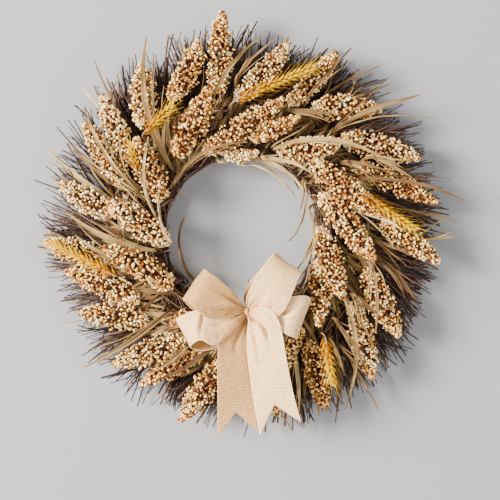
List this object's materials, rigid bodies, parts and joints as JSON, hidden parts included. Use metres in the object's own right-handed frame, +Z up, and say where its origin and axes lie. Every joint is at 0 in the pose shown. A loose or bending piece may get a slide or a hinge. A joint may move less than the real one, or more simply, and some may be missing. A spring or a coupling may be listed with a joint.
{
  "type": "harvest door wreath",
  "caption": "Round twig wreath on a wire frame with seed heads, dried husk leaves, wheat ears and a burlap ribbon bow with two hanging tails.",
  "frame": {"origin": "centre of the ring on its flat back, where it rests on the door", "axes": "+X to the right seen from the front, -Y towards the viewer, +Z up"},
  "size_m": [0.4902, 0.1028, 0.485],
  "materials": {
    "frame_wire": "dark green enamel",
    "binding_wire": "brown paddle wire",
    "hanger_wire": "galvanised wire",
    "twig": "dark bark",
    "seed_head": "dried grain, cream and rust",
    "husk_leaf": "dried leaf",
    "wheat": "dyed yellow ears",
    "burlap": "open plain weave"
  },
  "bodies": {
    "root": {"binding_wire_turns": "binding_wire", "bow_centre_wrap": "burlap", "bow_loop_lower_left": "burlap", "bow_loop_lower_right": "burlap", "bow_loop_upper_left": "burlap", "bow_loop_upper_right": "burlap", "bow_tie_wire": "binding_wire", "frame_cross_wires": "frame_wire", "frame_inner_ring": "frame_wire", "frame_outer_ring": "frame_wire", "husk_leaves_01_oclock": "husk_leaf", "husk_leaves_02_oclock": "husk_leaf", "husk_leaves_03_oclock": "husk_leaf", "husk_leaves_04_oclock": "husk_leaf", "husk_leaves_05_oclock": "husk_leaf", "husk_leaves_06_oclock": "husk_leaf", "husk_leaves_07_oclock": "husk_leaf", "husk_leaves_08_oclock": "husk_leaf", "husk_leaves_09_oclock": "husk_leaf", "husk_leaves_10_oclock": "husk_leaf", "husk_leaves_11_oclock": "husk_leaf", "husk_leaves_12_oclock": "husk_leaf", "seed_heads_01_oclock": "seed_head", "seed_heads_02_oclock": "seed_head", "seed_heads_03_oclock": "seed_head", "seed_heads_04_oclock": "seed_head", "seed_heads_05_oclock": "seed_head", "seed_heads_06_oclock": "seed_head", "seed_heads_07_oclock": "seed_head", "seed_heads_08_oclock": "seed_head", "seed_heads_09_oclock": "seed_head", "seed_heads_10_oclock": "seed_head", "seed_heads_11_oclock": "seed_head", "seed_heads_12_oclock": "seed_head", "twig_core_ring": "twig", "twigs_01_oclock": "twig", "twigs_02_oclock": "twig", "twigs_03_oclock": "twig", "twigs_04_oclock": "twig", "twigs_05_oclock": "twig", "twigs_06_oclock": "twig", "twigs_07_oclock": "twig", "twigs_08_oclock": "twig", "twigs_09_oclock": "twig", "twigs_10_oclock": "twig", "twigs_11_oclock": "twig", "twigs_12_oclock": "twig", "wheat_ear_left": "wheat", "wheat_ear_lower_right": "wheat", "wheat_ear_right": "wheat", "wheat_ear_small": "wheat", "wheat_ear_top": "wheat", "wheat_ear_upper_left": "wheat"},
    "bow_tail_left_body": {"bow_tail_left": "burlap"},
    "bow_tail_right_body": {"bow_tail_right": "burlap"},
    "hanging_loop_body": {"hanging_loop": "hanger_wire"}
  },
  "joints": [
    {"name": "bow_tail_left_lift", "type": "hinge", "parent": "root", "child": "bow_tail_left_body", "pos_m": [0.006, -0.072, -0.09], "axis": [-1, 0, 0], "range_deg": [0, 50]},
    {"name": "bow_tail_right_lift", "type": "hinge", "parent": "root", "child": "bow_tail_right_body", "pos_m": [0.006, -0.072, -0.09], "axis": [-1, 0, 0], "range_deg": [0, 50]},
    {"name": "hanging_loop_swing", "type": "hinge", "parent": "root", "child": "hanging_loop_body", "pos_m": [0, -0.01, 0.1413], "axis": [-1, 0, 0], "range_deg": [0, 90]}
  ]
}
